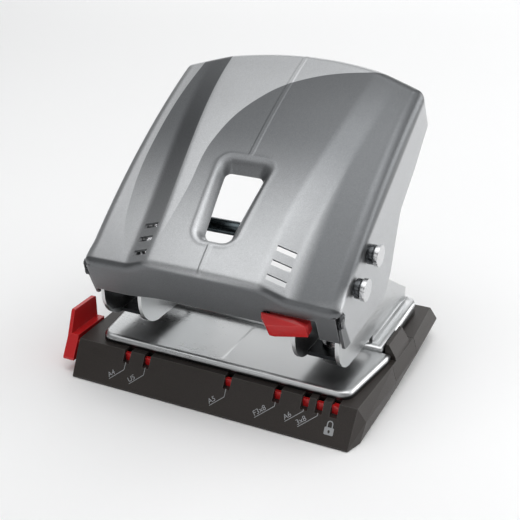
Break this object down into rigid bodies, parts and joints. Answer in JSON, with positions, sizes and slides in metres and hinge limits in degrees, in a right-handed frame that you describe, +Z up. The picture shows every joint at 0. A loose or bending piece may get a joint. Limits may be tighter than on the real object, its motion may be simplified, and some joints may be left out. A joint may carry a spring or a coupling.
{
  "type": "desk hole punch",
  "caption": "Desk paper punch: pressed steel lever handle over two punch heads on a steel paper table, with plastic chip tray, slide-out paper guide and handle lock.",
  "frame": {"origin": "on the desk under the middle of the punch, half way between the two punches", "axes": "+X to the right along the front edge, -Y to the side where the paper goes in, +Z up"},
  "size_m": [0.126, 0.1018, 0.1139],
  "materials": {
    "silver_paint": "metallic silver paint, fine flake, satin",
    "plate_steel": "satin nickel plated sheet steel",
    "plated_steel": "bright zinc plated",
    "tool_steel": "ground tool steel",
    "tray_plastic": "fine satin grain",
    "red_plastic": "semi gloss moulded",
    "black_nylon": "plain moulded",
    "rubber": "matt anti-slip sheet"
  },
  "bodies": {
    "base": {"base_tray": "tray_plastic", "rubber_mat": "rubber", "base_plate": "plate_steel", "plate_screws": "plated_steel", "door_pin": "plated_steel", "guide_detent": "tool_steel", "left_bracket": "plate_steel", "right_bracket": "plate_steel", "bracket_rivets": "plated_steel", "left_guide_bush": "tool_steel", "right_guide_bush": "tool_steel", "left_guide_bridge": "plate_steel", "right_guide_bridge": "plate_steel", "left_die": "tool_steel", "right_die": "tool_steel", "left_spring": "tool_steel", "right_spring": "tool_steel", "left_pivot_pin": "plated_steel", "right_pivot_pin": "plated_steel", "pivot_clips": "plated_steel", "pivot_spacers": "black_nylon"},
    "handle": {"handle": "silver_paint", "driver_rod": "plated_steel", "rod_caps": "plated_steel"},
    "lock": {"lock_slider": "red_plastic", "lock_retainer": "tool_steel"},
    "guide": {"paper_guide": "red_plastic"},
    "door": {"chip_door": "tray_plastic"},
    "left_punch": {"left_punch": "tool_steel"},
    "right_punch": {"right_punch": "tool_steel"}
  },
  "joints": [
    {"name": "handle_press", "type": "hinge", "parent": "base", "child": "handle", "pos_m": [0, -0.03415, 0.05424], "axis": [-1, 0, 0], "range_deg": [0, 36], "stiffness_Nm_per_rad": 0.5, "springref_deg": -34.38},
    {"name": "left_punch_stroke", "type": "slide", "parent": "base", "child": "left_punch", "axis": [0, 0, -1], "range_m": [0, 0.00876], "deforming": ["left_spring"]},
    {"name": "right_punch_stroke", "type": "slide", "parent": "base", "child": "right_punch", "axis": [0, 0, -1], "range_m": [0, 0.00876], "deforming": ["right_spring"]},
    {"name": "lock_slide", "type": "slide", "parent": "handle", "child": "lock", "axis": [1, 0, 0], "range_m": [0, 0.0026]},
    {"name": "guide_slide", "type": "slide", "parent": "base", "child": "guide", "axis": [-1, 0, 0], "range_m": [0, 0.0857]},
    {"name": "chip_door_swing", "type": "hinge", "parent": "base", "child": "door", "pos_m": [0.0582, 0, 0.0023], "axis": [0, 1, 0], "range_deg": [0, 75]}
  ],
  "couplings": [
    {"joint": "left_punch_stroke", "follows": "handle_press", "m_per_rad": 0.013934},
    {"joint": "right_punch_stroke", "follows": "handle_press", "m_per_rad": 0.013934}
  ]
}
